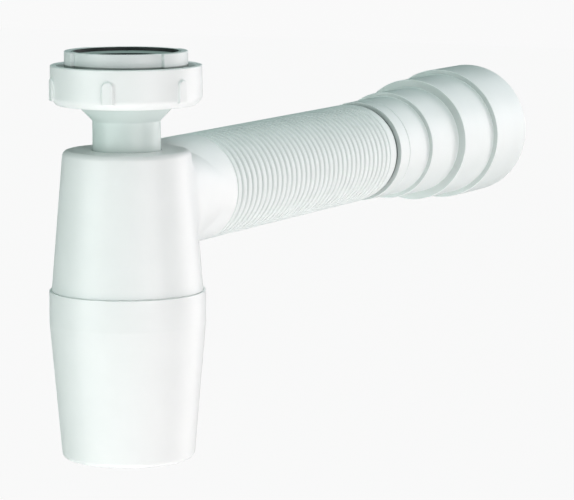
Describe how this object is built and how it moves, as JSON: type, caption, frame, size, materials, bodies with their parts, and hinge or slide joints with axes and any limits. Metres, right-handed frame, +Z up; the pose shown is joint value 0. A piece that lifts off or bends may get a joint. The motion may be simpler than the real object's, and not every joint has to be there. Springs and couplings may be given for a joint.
{
  "type": "flexible sink trap",
  "caption": "White plastic bottle trap: notched ring in a ribbed union nut, dip tube, tapered body with a screw-on cup, and a corrugated outlet hose with a stepped end adapter.",
  "frame": {"origin": "centre of the inlet plane, the top of the notched ring", "axes": "+Z up along the inlet tube, +X along the outlet hose towards its free end"},
  "size_m": [0.3575, 0.0608, 0.159],
  "materials": {
    "hose_plastic": "satin, softer look than the moulded pieces",
    "body_plastic": "satin white",
    "adapter_plastic": "satin white",
    "cup_plastic": "satin white",
    "nut_plastic": "satin white",
    "ring_plastic": "satin white",
    "tube_plastic": "satin white",
    "lock_ring_plastic": "satin white",
    "cone_seal_rubber": "pale grey, matt",
    "washer_rubber": "pale grey, matt",
    "black_rubber": "black, matt"
  },
  "bodies": {
    "trap": {"trap_body": "body_plastic", "neck_seal": "black_rubber"},
    "inlet": {"inlet_tube": "tube_plastic", "inlet_washer": "washer_rubber"},
    "nut": {"coupling_nut": "nut_plastic"},
    "ring_seal": {"cone_seal": "cone_seal_rubber"},
    "ring": {"adaptor_ring": "ring_plastic"},
    "cup_ring": {"cup_seal": "black_rubber"},
    "cup": {"cup": "cup_plastic"},
    "hose": {"corrugated_hose": "hose_plastic", "outlet_seal": "black_rubber"},
    "hose_end": {"lock_ring": "lock_ring_plastic", "stepped_adapter": "adapter_plastic", "adapter_seal": "black_rubber"}
  },
  "joints": [
    {"name": "inlet_swivel", "type": "hinge", "parent": "trap", "child": "inlet", "pos_m": [0, 0, -0.045], "axis": [0, 0, 1], "continuous": true},
    {"name": "nut_spin", "type": "hinge", "parent": "inlet", "child": "nut", "pos_m": [0, 0, -0.013], "axis": [0, 0, 1], "continuous": true},
    {"name": "ring_lift", "type": "slide", "parent": "nut", "child": "ring_seal", "axis": [0, 0, 1], "range_m": [0, 0.00635]},
    {"name": "ring_unscrew", "type": "hinge", "parent": "ring_seal", "child": "ring", "pos_m": [0, 0, -0.006], "axis": [0, 0, 1], "range_deg": [0, 1000]},
    {"name": "cup_drop", "type": "slide", "parent": "trap", "child": "cup_ring", "axis": [0, 0, 1], "range_m": [-0.011, 0]},
    {"name": "cup_unscrew", "type": "hinge", "parent": "cup_ring", "child": "cup", "pos_m": [0, 0, -0.1], "axis": [0, 0, 1], "range_deg": [-1000, 0]},
    {"name": "hose_swivel", "type": "hinge", "parent": "trap", "child": "hose", "pos_m": [0.05, 0, -0.0585], "axis": [1, 0, 0], "continuous": true},
    {"name": "hose_stretch", "type": "slide", "parent": "hose", "child": "hose_end", "axis": [1, 0, 0], "range_m": [0, 0.14], "deforming": ["corrugated_hose"]}
  ],
  "couplings": [
    {"joint": "ring_unscrew", "follows": "ring_lift", "rad_per_m": 2721.2},
    {"joint": "cup_unscrew", "follows": "cup_drop", "rad_per_m": 1570.8}
  ]
}
